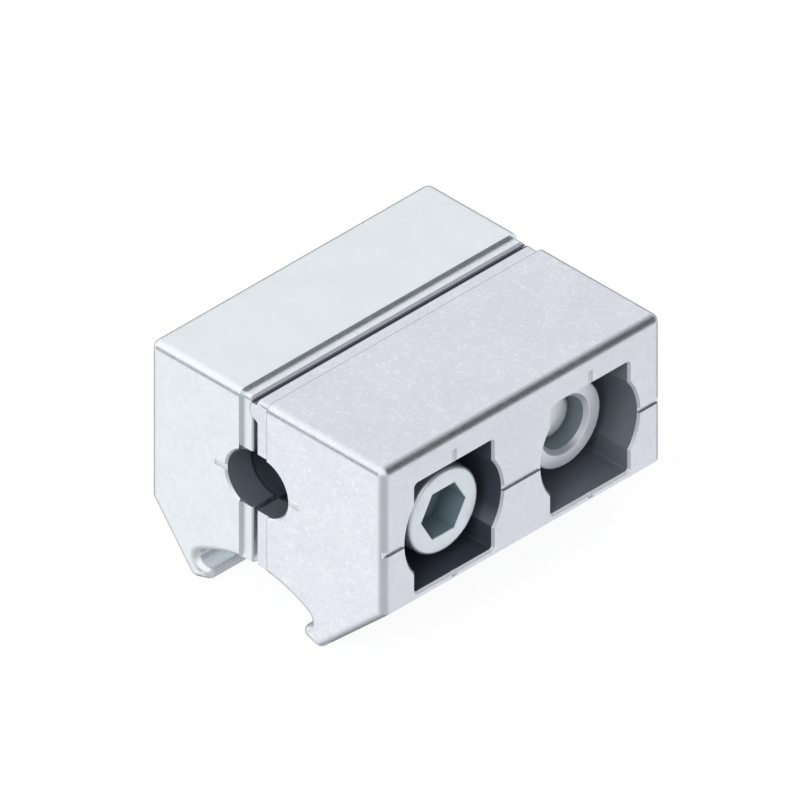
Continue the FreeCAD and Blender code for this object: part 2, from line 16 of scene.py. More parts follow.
import bpy
import numpy as np
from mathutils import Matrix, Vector


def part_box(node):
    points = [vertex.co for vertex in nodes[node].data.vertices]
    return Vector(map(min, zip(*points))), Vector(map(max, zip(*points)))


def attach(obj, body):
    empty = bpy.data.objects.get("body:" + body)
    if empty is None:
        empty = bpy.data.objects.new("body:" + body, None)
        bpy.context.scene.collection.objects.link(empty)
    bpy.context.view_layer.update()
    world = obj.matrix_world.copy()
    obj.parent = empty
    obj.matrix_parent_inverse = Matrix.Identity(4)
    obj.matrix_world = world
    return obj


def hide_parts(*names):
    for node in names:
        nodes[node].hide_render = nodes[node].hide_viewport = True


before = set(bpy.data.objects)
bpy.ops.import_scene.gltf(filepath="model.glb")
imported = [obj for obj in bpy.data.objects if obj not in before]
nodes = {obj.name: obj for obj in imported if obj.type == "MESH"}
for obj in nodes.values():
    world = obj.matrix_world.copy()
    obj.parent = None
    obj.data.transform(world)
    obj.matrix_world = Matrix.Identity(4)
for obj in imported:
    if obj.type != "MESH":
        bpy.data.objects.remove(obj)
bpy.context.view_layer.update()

MM = 0.001
print("nodes:", ", ".join(sorted(nodes)))

# %% [markdown]
# The camera
#
# The portrait is a parallel view: edges that are parallel on the object stay parallel in it. A
# long lens from far away comes close to that, but its edges still draw together a little. An
# orthographic camera has no such pull at all, so it is the one used here. It stands 45 degrees
# round from the end and 35 degrees up. The aim is the point of the object that lies in the
# middle of the picture, and the view's width is the width of the world that the picture shows.

# %% Camera
AZIMUTH = math.radians(45.0)
ELEVATION = math.radians(35.03)
AIM = Vector((-0.75, -0.75, 31.5)) * MM
VIEW_WIDTH = 147.25 * MM
DISTANCE = 0.5

back = Vector((
    math.sin(AZIMUTH) * math.cos(ELEVATION),
    -math.cos(AZIMUTH) * math.cos(ELEVATION),
    math.sin(ELEVATION),
))
camera_data = bpy.data.cameras.new("portrait_camera")
camera_data.type = "ORTHO"
camera_data.ortho_scale = VIEW_WIDTH
camera = bpy.data.objects.new("portrait_camera", camera_data)
camera.location = AIM + back * DISTANCE
camera.rotation_mode = "QUATERNION"
camera.rotation_quaternion = (-back).to_track_quat("-Z", "Y")
bpy.context.collection.objects.link(camera)
bpy.context.scene.camera = camera
bpy.context.scene.view_settings.view_transform = "Standard"
print("camera looks from", [round(part, 3) for part in camera.location])

# %% [markdown]
# Helpers for node trees
#
# A finish is a small graph of nodes. It could be wired by hand in the shader editor, but in a
# script it can be read from top to bottom, and used twice. A few helpers keep the graphs short.
# Two of them add a node and feed its inputs, each by a plain value or by another node's output.
# The others do sums, smooth steps and blends. A mask is a number that is 1 where something is
# true and 0 elsewhere, and most of a finish is masks and what they switch.

# %% Adding nodes and feeding them
def feed(tree, socket, value):
    """Links another node's output to an input, or sets a plain value on it."""
    if isinstance(value, bpy.types.NodeSocket):
        tree.links.new(value, socket)
    else:
        socket.default_value = value


def add_node(tree, kind, settings=None, **inputs):
    """Adds a node. settings are its properties, and inputs are values or outputs to link."""
    made = tree.nodes.new(kind)
    for name, value in (settings or {}).items():
        setattr(made, name, value)
    for name, value in inputs.items():
        feed(tree, made.inputs[name.replace("_", " ")], value)
    return made


print("nodes can be added and fed")

# %% Sums and smooth steps
def arithmetic(tree, operation, *terms):
    """One Math node on one to three terms, and its result."""
    made = tree.nodes.new("ShaderNodeMath")
    made.operation = operation
    for socket, term in zip(made.inputs, terms):
        feed(tree, socket, term)
    return made.outputs[0]


def ramp(tree, value, low, high, out_low=0.0, out_high=1.0):
    """A smooth step of a value from low to high."""
    made = add_node(tree, "ShaderNodeMapRange", {"interpolation_type": "SMOOTHSTEP"},
                    Value=value, From_Min=low, From_Max=high, To_Min=out_low, To_Max=out_high)
    return made.outputs["Result"]


def fall(tree, value, low, high):
    """The same step the other way up: 1 below low, 0 above high."""
    return ramp(tree, value, low, high, 1.0, 0.0)


print("smooth steps ready")

# %% Joining masks
def product(tree, first, *others):
    """All terms multiplied. Of masks, 1 where all of them are."""
    for other in others:
        first = arithmetic(tree, "MULTIPLY", first, other)
    return first


def highest(tree, first, *others):
    """The greatest of all terms. Of masks, 1 where any of them is."""
    for other in others:
        first = arithmetic(tree, "MAXIMUM", first, other)
    return first


def less(tree, mask, share):
    """1 outside a mask, and less than 1 by a share inside it."""
    return arithmetic(tree, "MULTIPLY_ADD", mask, -share, 1.0)


print("masks can be joined")

# %% Colours
def rgb(red, green, blue):
    """A colour as a shader socket wants it, with full opacity."""
    return (red, green, blue, 1.0)


def mix_colour(tree, factor, first, second):
    """A blend of two colours, each a plain one or another node's output."""
    made = tree.nodes.new("ShaderNodeMix")
    made.data_type = "RGBA"
    colours = [socket for socket in made.inputs if socket.type == "RGBA"]
    feed(tree, made.inputs["Factor"], factor)
    feed(tree, colours[0], first)
    feed(tree, colours[1], second)
    return [socket for socket in made.outputs if socket.type == "RGBA"][0]


def scaled_vector(tree, vector, factor):
    """A colour or a place times a number, each a plain one or another node's output."""
    made = add_node(tree, "ShaderNodeVectorMath", {"operation": "SCALE"})
    feed(tree, made.inputs[0], vector)
    feed(tree, made.inputs["Scale"], factor)
    return made.outputs[0]


WHITE = rgb(1, 1, 1)
print("colours can be mixed")

# %% [markdown]
# The white room
#
# The portrait stands on plain white. Bright lamps on a white wall would give that too, but they
# would burn out the pale metal in front of it. So the world itself is white, of strength 1, to
# the camera and to every mirrored or refracted ray, and metal shows the same white room. To
# matt surfaces it is a little dimmer, which lights them at a plain level.

# %% World
AMBIENT = 0.85

world = bpy.data.worlds.new("white_room")
bpy.context.scene.world = world
world.use_nodes = True
tree = world.node_tree
tree.nodes.clear()
path = tree.nodes.new("ShaderNodeLightPath")
seen = highest(tree, path.outputs["Is Glossy Ray"], path.outputs["Is Transmission Ray"],
               path.outputs["Is Camera Ray"])
ambient = add_node(tree, "ShaderNodeBackground", Color=WHITE, Strength=AMBIENT)
white = add_node(tree, "ShaderNodeBackground", Color=WHITE, Strength=1.0)
chosen = tree.nodes.new("ShaderNodeMixShader")
for socket, value in zip(chosen.inputs, (seen, ambient.outputs[0], white.outputs[0])):
    tree.links.new(value, socket)
world_out = tree.nodes.new("ShaderNodeOutputWorld")
tree.links.new(chosen.outputs[0], world_out.inputs["Surface"])
print("world: white, ambient", AMBIENT)

# %% [markdown]
# The tent
#
# Bare metal has no colour of its own to speak of: it shows what stands round it. In an all
# white room its edges would vanish. In a product studio a thin tent goes round the part, with
# grey cards pinned to it where an edge should be drawn. A box or a few separate panels would do
# as a tent, but their corners and gaps would show as kinks in the metal. Here the tent is one
# large sphere, which has neither, and only mirrored rays meet it.

# %% The tent as a surface
TENT_RADIUS = 1.6
TENT_RINGS = 49
TENT_COLUMNS = 96


def ball(name, radius, rings, columns):
    """A sphere of latitude u and longitude v: (cos u cos v, cos u sin v, sin u) times radius."""
    u, v = np.meshgrid(np.linspace(-np.pi / 2, np.pi / 2, rings),
                       np.linspace(0, 2 * np.pi, columns, endpoint=False), indexing="ij")
    points = radius * np.stack([np.cos(u) * np.cos(v), np.cos(u) * np.sin(v), np.sin(u)], axis=-1)
    index = np.arange(rings * columns).reshape(rings, columns)
    right = np.roll(index, -1, axis=1)
    faces = np.stack([index[:-1], right[:-1], right[1:], index[1:]], axis=-1).reshape(-1, 4)
    mesh = bpy.data.meshes.new(name)
    mesh.from_pydata(points.reshape(-1, 3).tolist(), [], faces.tolist())
    return mesh


tent_mesh = ball("tent", TENT_RADIUS, TENT_RINGS, TENT_COLUMNS)
print("tent:", len(tent_mesh.polygons), "faces")

# %% [markdown]
# The cards
#
# A card could be a small dark plane of its own. Its rim would then be hard, and a soft rim is
# what makes an edge look round. So the cards are round patches in the glow of the tent's cloth,
# each given by the way in which it lies, by how far it reaches, and by how much of the light it
# takes. A surface mirrors the card that lies opposite the eye, at the same slant to it, and the
# notes in the table say which surface that is. The last card lies low behind the block, where
# every surface looks that turns away from the eye, so it draws a fine line round the outline.
# The tent is also a little dimmer on the far side than on the near one.

# %% Cloth and the way to a point of it
tent_cloth = bpy.data.materials.new("tent_cloth")
tent_cloth.use_nodes = True
tree = tent_cloth.node_tree
tree.nodes.clear()
tent_point = tree.nodes.new("ShaderNodeTexCoord").outputs["Object"]


def nearness(tree, way):
    """The cosine of the angle between a point of the tent and a way, seen from the middle."""
    made = add_node(tree, "ShaderNodeVectorMath", {"operation": "DOT_PRODUCT"})
    feed(tree, made.inputs[0], tent_point)
    feed(tree, made.inputs[1], Vector(way).normalized() / TENT_RADIUS)
    return made.outputs["Value"]


print("cloth:", tent_cloth.name)

# %% The cards' tones
CARDS = (
    # way, cosine at the rim, cosine where it is full, share of the light that it takes
    ((0.706, 0.579, 0.407), 0.62, 0.97, 0.88),  # the rounding from the top to the side
    ((0.211, 0.579, 0.787), 0.66, 0.98, 0.50),  # the same rounding, nearer to the top
    ((0.579, -0.579, -0.574), 0.26, 0.97, 0.54),  # the upright corner
    ((-0.579, -0.812, -0.070), 0.91, 0.995, 0.80),  # the rounding from the end to the top
    ((0.0, 0.0, -1.0), 0.84, 0.97, 0.30),  # roundings that look down
    ((-0.579, 0.579, -0.574), 0.45, 0.86, 0.80),  # all that turns away from the eye
)
FAR_WAY = (0, 1, 0)
FAR_TONE = 0.955
NEAR_TONE = 1.06
TONE_FADE = 0.45

tone = ramp(tree, nearness(tree, FAR_WAY), -TONE_FADE, TONE_FADE, NEAR_TONE, FAR_TONE)
for card_way, rim_cosine, full_cosine, taken in CARDS:
    left = ramp(tree, nearness(tree, card_way), rim_cosine, full_cosine, 1.0, 1.0 - taken)
    tone = product(tree, tone, left)
cloth = add_node(tree, "ShaderNodeEmission", Color=WHITE, Strength=tone)
cloth_out = tree.nodes.new("ShaderNodeOutputMaterial")
tree.links.new(cloth.outputs[0], cloth_out.inputs["Surface"])
tent_cloth.cycles.emission_sampling = "NONE"
print("tent cloth with", len(CARDS), "cards")

# %% Put the tent up
tent_mesh.materials.append(tent_cloth)
tent = bpy.data.objects.new("tent", tent_mesh)
for sight in ("visible_camera", "visible_diffuse", "visible_transmission", "visible_shadow",
              "visible_volume_scatter"):
    setattr(tent, sight, False)
bpy.context.collection.objects.link(tent)
print("tent up, seen by mirrored rays alone")

# %% [markdown]
# The key light
#
# One soft lamp stands high in front of the near end, a little to the right, so that it rakes
# along the far walls of the screw openings. An area lamp would do, but it would light the near
# half of a face more than the far half. A sun lamp's rays are parallel, so each flat face keeps
# one even tone, and its wide angle softens the shadows. It is kept out of mirrored rays, so
# that it leaves no glare on an edge, and the metal mirrors the tent alone.

# %% Key light
KEY_WAY = Vector((0.30, -0.76, 0.58))
KEY_STRENGTH = 1.5
KEY_ANGLE = math.radians(24.0)

key_data = bpy.data.lights.new("key_light", "SUN")
key_data.energy = KEY_STRENGTH
key_data.angle = KEY_ANGLE
key_light = bpy.data.objects.new("key_light", key_data)
key_light.rotation_mode = "QUATERNION"
key_light.rotation_quaternion = KEY_WAY.to_track_quat("Z", "Y")
key_light.visible_glossy = False
bpy.context.collection.objects.link(key_light)
print("key light of strength", KEY_STRENGTH)

# %% [markdown]
# The floor
#
# The block stands on white paper. Paper that is only lit comes out grey at this plain level of
# light, and paper that only glows takes no shadow, so that the block would float. This one does
# both: it glows just under white and takes the rest from the light, which leaves the block a
# faint shadow to stand on. The metal doesn't mirror it, because the tent is there for that.

# %% The paper
FLOOR_GLOW = 0.905
FLOOR_SHADE = rgb(0.11, 0.11, 0.11)

paper = bpy.data.materials.new("white_paper")
paper.use_nodes = True
tree = paper.node_tree
tree.nodes.clear()
glow = add_node(tree, "ShaderNodeEmission", Color=WHITE, Strength=FLOOR_GLOW)
shade = add_node(tree, "ShaderNodeBsdfDiffuse", Color=FLOOR_SHADE)
both = tree.nodes.new("ShaderNodeAddShader")
tree.links.new(glow.outputs[0], both.inputs[0])
tree.links.new(shade.outputs[0], both.inputs[1])
paper_out = tree.nodes.new("ShaderNodeOutputMaterial")
tree.links.new(both.outputs[0], paper_out.inputs["Surface"])
print("paper glows at", FLOOR_GLOW)

# %% Lay it down
FLOOR_HALF = 3.0

floor_mesh = bpy.data.meshes.new("floor")
corners = [(x * FLOOR_HALF, y * FLOOR_HALF, 0.0) for x, y in ((-1, -1), (1, -1), (1, 1), (-1, 1))]
floor_mesh.from_pydata(corners, [], [(0, 1, 2, 3)])
floor_mesh.materials.append(paper)
floor = bpy.data.objects.new("floor", floor_mesh)
floor.visible_glossy = False
bpy.context.collection.objects.link(floor)
print("floor of", FLOOR_HALF * 2, "m")

# %% [markdown]
# Places on the block
#
# The castings' colour isn't the same all over: it differs in the openings, in the bore, on the
# marks and along the seam, mostly by painted shade. The faces of such a place could be picked
# out and given a material of their own, but the mesh of a CAD node stays as it is. So one
# material holds the whole finish and tells the places apart by where a point lies, in
# millimetres on the piece's own axes. What the masks are set out from is read off the frame
# here, so that they agree with the castings.

# %% Places in millimetres
def box_mm(name):
    """A node's lowest and highest corners in millimetres."""
    low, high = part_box(name)
    return low / MM, high / MM


wide_high = box_mm("wide_jaw")[1]
narrow_low = box_mm("narrow_jaw")[0]
screw_low, screw_high = box_mm("front_screw")
SIDE_X = wide_high.x
END_Y = wide_high.y
SCREW_Y = -(screw_low.y + screw_high.y) / 2
SCREW_Z = (screw_low.z + screw_high.z) / 2
print("screws at y", round(SCREW_Y, 2), "and z", round(SCREW_Z, 2))

# %% Where a point lies
def millimetres(tree):
    """Object coordinates counted in millimetres."""
    return scaled_vector(tree, tree.nodes.new("ShaderNodeTexCoord").outputs["Object"], 1 / MM)


class Spot:
    """A point of a casting: its place, the parts of it, and how far they are from the middle."""

    def __init__(self, tree):
        self.place = millimetres(tree)
        self.parts = add_node(tree, "ShaderNodeSeparateXYZ", Vector=self.place).outputs
        self.x, self.y, self.z = self.parts
        self.across = arithmetic(tree, "ABSOLUTE", self.x)
        self.beside = arithmetic(tree, "ABSOLUTE", self.y)


print("points are told apart in millimetres")

# %% Bands and boxes
SOFT = 0.02


def within(tree, value, low, high, soft=SOFT):
    """1 where a value lies between low and high, 0 outside."""
    return product(tree, ramp(tree, value, low - soft, low + soft),
                   fall(tree, value, high - soft, high + soft))


def in_box(tree, spot, low, high):
    """1 inside a box of the piece's own coordinates, whose corners are in millimetres."""
    return product(tree, *(within(tree, part, *ends)
                           for part, ends in zip(spot.parts, zip(low, high))))


print("bands and boxes have edges", SOFT, "mm soft")

# %% [markdown]
# Blasted aluminium
#
# The castings are blasted: bright, a little blue, with short pale flakes where the shot has
# struck. Dents in the mesh would need a great many faces for something no deeper than a hair,
# and a picture of them would show its seams. So the flakes come from noise, which has no seam
# and goes on for ever. Lines of equal height in a noise are long curls, and a second noise cuts
# them short. The wide jaw shows them clearly on its top and ends, the narrow one hardly. Towards
# its ends each jaw is painted lighter, as painted light, the wide jaw far more. A dark hairline of
# painted shade runs along the wide jaw where its flat strip beside the parting line starts.

# %% Noise and flakes
FLAKE_SIZES = ((0.50, 0.040), (0.78, 0.045))  # scale of the noise, and half width of a line
CURL = 0.6
LINE_CORE = 0.4
PATCH_SCALE = 1.2
PATCH_STEP = (0.50, 0.56)
PLAIN, CLOUDY, FINE = 1.0, 2.0, 3.0  # octaves of detail in a noise


def noise(tree, place, scale, detail, distortion=0.0):
    """A cloudy field about 0.5, with its waves 1 / scale millimetres long."""
    made = add_node(tree, "ShaderNodeTexNoise", Vector=place, Scale=scale, Detail=detail,
                    Distortion=distortion)
    return made.outputs["Fac"]


def flakes(tree, place, scale, thin):
    """Short curled strokes: contour lines of one noise, cut short by another."""
    field = noise(tree, place, scale, PLAIN, CURL)
    off = arithmetic(tree, "ABSOLUTE", arithmetic(tree, "SUBTRACT", field, 0.5))
    lines = fall(tree, off, thin * LINE_CORE, thin)
    patches = ramp(tree, noise(tree, place, scale * PATCH_SCALE, PLAIN), *PATCH_STEP)
    return product(tree, lines, patches)


print("flakes in", len(FLAKE_SIZES), "sizes")

# %% The blasted surface
FLAKE = rgb(0.870, 0.900, 0.968)
SIDE_FADE = (2.0, 0.4)
CLOUD_SCALE = 0.11
CLOUD_STEP = (0.35, 0.65)
CLOUD_TONES = (0.985, 1.012)
END_FADE = 1.6
STRIP_LINE = (-0.15, 0.09)
STRIP_LINE_FOOT = (8.0, 8.5)
STRIP_LINE_PAINTED_SHADE = 0.50


def blasted(tree, spot, metal, flake_share, end_painted_light):
    """Metal with clouds and flakes, with painted light at the ends and a hairline of painted shade
    beside the strip.
    """
    strokes = highest(tree, *(flakes(tree, spot.place, *size) for size in FLAKE_SIZES))
    off_side = fall(tree, spot.across, SIDE_X - SIDE_FADE[0], SIDE_X - SIDE_FADE[1])
    colour = mix_colour(tree, product(tree, strokes, flake_share, off_side), metal, FLAKE)
    clouds = ramp(tree, noise(tree, spot.place, CLOUD_SCALE, CLOUDY), *CLOUD_STEP, *CLOUD_TONES)
    # painted light: each jaw is painted lighter towards its ends
    ends = ramp(tree, spot.beside, END_Y - END_FADE, END_Y, 1.0, end_painted_light)
    # painted shade: a dark hairline along the edge where the wide jaw's flat strip starts
    painted_shade_line = product(tree, ramp(tree, spot.z, *STRIP_LINE_FOOT),
                       within(tree, spot.x, *STRIP_LINE))
    tone = product(tree, clouds, ends, less(tree, painted_shade_line, STRIP_LINE_PAINTED_SHADE))
    return scaled_vector(tree, colour, tone)


print("blasted metal ready, its ends", END_Y, "mm from the middle")

# %% [markdown]
# Painted shade in the recesses
#
# The screw openings and the bore take a dark slate colour that is painted shade, and the metal
# there is half matt. Less light would darken them too, but the same light falls on the faces
# beside them, so the shade is painted into the colour. It is painted darker about the front
# screw than about the rear one, and a paler patch of painted light lies low on the bulge of the
# front opening. Two boxes mark where it is: one for the openings and one for the bore, each a
# rim smaller than the hollow's mouth, because the chamfer there is bright.

# %% Where the painted shade is
RIM = 0.45
OPENING_HALF_HEIGHT = 12.15 + RIM
OPENING_REACH = SCREW_Y + 12.6 + RIM
BORE_HALF = 6.3
JOINT_X = -4.0
WIDE_BORE = (JOINT_X, 5.3)
NARROW_BORE = (-10.65, JOINT_X)


def recess_mask(tree, spot, side, bore):
    """1 inside the openings for the screws and in the bore."""
    low_x, high_x = sorted((side, JOINT_X))
    openings = in_box(tree, spot, (low_x, -OPENING_REACH, SCREW_Z - OPENING_HALF_HEIGHT),
                      (high_x, OPENING_REACH, SCREW_Z + OPENING_HALF_HEIGHT))
    end = END_Y - RIM
    hollow = in_box(tree, spot, (bore[0], -end, SCREW_Z - BORE_HALF),
                    (bore[1], end, SCREW_Z + BORE_HALF))
    return highest(tree, openings, hollow)


print("skin between heights", round(SCREW_Z - OPENING_HALF_HEIGHT, 2), "and",
      round(SCREW_Z + OPENING_HALF_HEIGHT, 2))

# %% How the painted shade looks
# painted shade for the openings and the bore: paler about the rear screw, darker about the front
# one
REAR_PAINTED_SHADE = rgb(0.150, 0.172, 0.205)
FRONT_PAINTED_SHADE = rgb(0.052, 0.066, 0.088)
# painted light: a paler patch low on the bulge of the front opening
BULGE_PAINTED_LIGHT = rgb(0.300, 0.335, 0.375)
MIDDLE_FADE = 3.0
NEAR_FADE = (-31.0, -27.0)
BULGE = (10.0, 13.2)
BULGE_LIGHT_BELOW = (7.4, 3.5)
BULGE_LIGHT_SHARE = 0.34


def painted_recess_shade(tree, spot):
    """Painted shade in slate, darker about the front screw, with painted light low on the bulge of
    its opening.
    """
    front = product(tree, fall(tree, spot.y, -MIDDLE_FADE, MIDDLE_FADE),
                    ramp(tree, spot.y, *NEAR_FADE))
    colour = mix_colour(tree, front, REAR_PAINTED_SHADE, FRONT_PAINTED_SHADE)
    foot, top = (SCREW_Z - below for below in BULGE_LIGHT_BELOW)
    # painted light: paler towards the bottom of the bulge of the front opening
    bulge_light = product(tree, within(tree, spot.y, *(edge - SCREW_Y for edge in BULGE)),
                   ramp(tree, spot.z, foot, top, BULGE_LIGHT_SHARE, 0.0),
                   ramp(tree, spot.z, foot - SOFT, foot + SOFT))
    return mix_colour(tree, bulge_light, colour, BULGE_PAINTED_LIGHT)


print("skin ready, worn by", BULGE_LIGHT_SHARE, "at most")

# %% [markdown]
# Small dull places
#
# A few places are neither blasted nor in the recesses. The short marks beside the openings and
# the bore have sunken floors. The channel for the rail is duller than the faces round it, and
# painted darker as painted shade. The sill is the chamfer under each opening, painted a darker
# grey as painted shade. The groove's lip and the seam beside it run along the top, the lip
# painted a darker grey and the seam nearly black, both painted shade.
# In pure metal such small faces would flash or vanish with each turn of the block, because they
# show only one bit of the tent. So they are made nearly matt, with a plain grey for each, and
# they stay drawn from every side.

# %% Floors of the marks
MARK_METAL = rgb(0.600, 0.620, 0.630)
MARK_HALF = 0.62
MARK_FADE = 0.05
MARK_DEEP = (0.5, 0.3)
MARK_SPAN = (12.0, 15.7)


def mark_floors(tree, spot):
    """1 on the sunken floors of the short marks beside the openings and the bore."""
    up = arithmetic(tree, "ABSOLUTE", arithmetic(tree, "SUBTRACT", spot.z, SCREW_Z))
    side = product(tree, within(tree, spot.across, *(SIDE_X - deep for deep in MARK_DEEP)),
                   within(tree, spot.beside, SCREW_Y - MARK_HALF, SCREW_Y + MARK_HALF),
                   within(tree, up, *MARK_SPAN))
    end = product(tree, within(tree, spot.beside, *(END_Y - deep for deep in MARK_DEEP)),
                  fall(tree, up, MARK_HALF, MARK_HALF + MARK_FADE))
    return highest(tree, side, end)


print("marks are", 2 * MARK_HALF, "mm wide")

# %% Channel and sills
# painted shade: the grey of the channel for the rail
CHANNEL_PAINTED_SHADE = rgb(0.430, 0.445, 0.480)
CHANNEL_HALF = 15.6
CHANNEL_HEIGHTS = (-1.0, 10.45)
CHANNEL_END = 0.6
# painted shade: a darker grey on the chamfers under the openings
SILL_PAINTED_SHADE = rgb(0.500, 0.520, 0.550)
SILL_DEEP = (0.42, 0.04)
SILL_BELOW = (12.62, 12.16)
SILL_FADE = (2.5, 2.0)


def rail_channel(tree, spot):
    """1 on the walls and the roof of the channel for the rail."""
    end = END_Y - CHANNEL_END
    low, high = CHANNEL_HEIGHTS
    return in_box(tree, spot, (-CHANNEL_HALF, -end, low), (CHANNEL_HALF, end, high))


def sills(tree, spot):
    """1 on the chamfers under the openings."""
    return product(tree, within(tree, spot.across, *(SIDE_X - deep for deep in SILL_DEEP)),
                   within(tree, spot.z, *(SCREW_Z - below for below in SILL_BELOW)),
                   fall(tree, spot.beside, *(END_Y - fade for fade in SILL_FADE)))


print("channel looked for up to", CHANNEL_HALF, "mm from the middle")

# %% Lip and seam
# painted shade: a darker grey on the chamfered lip of the groove
LIP_PAINTED_SHADE = rgb(0.370, 0.380, 0.435)
# painted shade: nearly black down in the seam between the lip and the bead
SEAM_PAINTED_SHADE = rgb(0.085, 0.092, 0.115)
LIP = (-5.1, -4.3)
LIP_TOP = (47.20, 47.24)
SEAM = (-4.6, -3.2)
SEAM_TOP = (46.84, 46.88)
SEAM_FOOT = (46.25, 46.30)
SEAM_END_FADE = 0.3


def groove_lip(tree, spot):
    """1 on the chamfered lip of the groove that holds the bead."""
    return product(tree, ramp(tree, spot.z, *SEAM_FOOT), within(tree, spot.x, *LIP),
                   fall(tree, spot.z, *LIP_TOP))


def bead_seam(tree, spot):
    """1 down in the seam between the lip and the bead, but not on the block's ends."""
    return product(tree, ramp(tree, spot.z, *SEAM_FOOT), within(tree, spot.x, *SEAM),
                   fall(tree, spot.z, *SEAM_TOP),
                   fall(tree, spot.beside, END_Y - SEAM_END_FADE, END_Y))


print("seam from x", SEAM[0], "to", SEAM[1])

# %% [markdown]
# A metal put together
#
# All metals here wear the same shader with four inputs: a colour, how much of it is metal, how
# rough it is, and a bump. A sandblasted face could be drawn by a rough shader alone. It would
# look like frosted plastic, though, so a fine noise both varies the roughness and lifts the
# surface by some hundredths of a millimetre, which breaks up what the metal mirrors.

# %% Helpers for a metal
NOISE_STEP = (0.3, 0.7)


def new_metal(name):
    """A new material, its node tree and its shader."""
    material = bpy.data.materials.new(name)
    material.use_nodes = True
    tree = material.node_tree
    return material, tree, tree.nodes["Principled BSDF"]


def wear(tree, shader, colour, metallic, rough, height, strength, depth):
    """Feeds the shader its colour, share of metal and roughness, and a bump of a height."""
    bump = add_node(tree, "ShaderNodeBump", Strength=strength, Distance=depth, Height=height)
    tree.links.new(colour, shader.inputs["Base Color"])
    tree.links.new(metallic, shader.inputs["Metallic"])
    tree.links.new(rough, shader.inputs["Roughness"])
    tree.links.new(bump.outputs["Normal"], shader.inputs["Normal"])


print("metals can be put together")

# %% Material of a casting
RECESS_METALLIC = 0.35
RECESS_ROUGHER = 0.12
DULL_SHARE = 0.95
BLAST_SCALE = 1.7
BLAST_ROUGH = (0.30, 0.40)
GRAIN_SCALE = 3.2
GRAIN_STRENGTH = 0.08
GRAIN_DEPTH = 0.05 * MM


def casting(name, metal, flake_share, end_painted_light, side, bore):
    """Blasted aluminium, dull in its small places, most of them painted shade, and with painted
    shade in its recesses.
    """
    material, tree, shader = new_metal(name)
    spot = Spot(tree)
    colour = blasted(tree, spot, metal, flake_share, end_painted_light)
    # each small place takes a grey: painted shade on the channel, the lip, the seam and the sills,
    # a plain grey on the marks
    dull_places = ((rail_channel(tree, spot), CHANNEL_PAINTED_SHADE), (mark_floors(tree, spot), MARK_METAL),
                   (groove_lip(tree, spot), LIP_PAINTED_SHADE), (bead_seam(tree, spot), SEAM_PAINTED_SHADE),
                   (sills(tree, spot), SILL_PAINTED_SHADE))
    for mask, grey in dull_places:
        colour = mix_colour(tree, mask, colour, grey)
    recess = recess_mask(tree, spot, side, bore)
    # painted shade: the openings and the bore take the slate colour that stands for their shade
    colour = mix_colour(tree, recess, colour, painted_recess_shade(tree, spot))
    dull = highest(tree, *(mask for mask, grey in dull_places))
    metallic = product(tree, less(tree, recess, 1.0 - RECESS_METALLIC), less(tree, dull, DULL_SHARE))
    rough = ramp(tree, noise(tree, spot.place, BLAST_SCALE, FINE), *NOISE_STEP, *BLAST_ROUGH)
    rough = arithmetic(tree, "MULTIPLY_ADD", recess, RECESS_ROUGHER, rough)
    grain = noise(tree, spot.place, GRAIN_SCALE, FINE)
    wear(tree, shader, colour, metallic, rough, grain, GRAIN_STRENGTH, GRAIN_DEPTH)
    return material


print("casting material ready")

# %% Dress the castings
WIDE_METAL = rgb(0.790, 0.815, 0.880)
NARROW_METAL = rgb(0.880, 0.930, 0.960)
WIDE_FLAKES, NARROW_FLAKES = 0.95, 0.20
# painted light at each jaw's ends, far more on the wide jaw
WIDE_END_PAINTED_LIGHT, NARROW_END_PAINTED_LIGHT = 1.10, 1.01

wide_casting = casting("wide_casting", WIDE_METAL, WIDE_FLAKES, WIDE_END_PAINTED_LIGHT,
                       SIDE_X - RIM, WIDE_BORE)
narrow_casting = casting("narrow_casting", NARROW_METAL, NARROW_FLAKES, NARROW_END_PAINTED_LIGHT,
                         narrow_low.x + RIM, NARROW_BORE)
for node, material in (("wide_jaw", wide_casting), ("narrow_jaw", narrow_casting)):
    nodes[node].data.materials.clear()
    nodes[node].data.materials.append(material)
    print(node, "wears", material.name)

# %% [markdown]
# Turned parts
#
# A screw and a bush come off a lathe, so each is a row of rings along its axis. A profile spun
# by a modifier would give plain rings only, and the hexagon and the thread would have to be cut
# in afterwards. Here every ring is given by how far along the axis it lies, by its radius, by
# how much of a hexagon it is, and by how deep the thread waves in it, so one function makes all
# of it. It works out the whole grid of points at once, and closes it either with two poles, for
# a solid screw, or back on itself, for a bush with a bore. Two attributes keep each point's
# place along the axis and its radius, so that a finish can follow the turning.

# %% The radius of every ring
COLUMNS = 192
THREAD_PITCH = 1.75


def ring_radii(rings, angles):
    """The radius of every ring at every angle.

    A hexagon of half width w has radius w / cos(a), with a the angle from the nearest flat's
    middle. The thread adds a triangle wave of the place along the axis less the share of a
    turn, so its ridges climb as a helix.
    """
    along, radius, hexagon, depth = (rings[:, column, None] for column in range(4))
    off_flat = np.mod(angles, np.pi / 3) - np.pi / 6
    shape = 1 + hexagon * (1 / np.cos(off_flat) - 1)
    turns = np.mod(along / THREAD_PITCH - angles / (2 * np.pi), 1.0)
    return radius * shape + depth * (1 - np.abs(2 * turns - 1))


def quarter(centre_along, centre_radius, size, start, stop, steps=8):
    """Rings of a rounding: the centre plus size times (sin a, cos a), a from start to stop."""
    sweep = np.radians(np.linspace(start, stop, steps))
    return [(centre_along + size * np.sin(a), centre_radius + size * np.cos(a), 0.0, 0.0)
            for a in sweep]


print("turning with", COLUMNS, "columns")

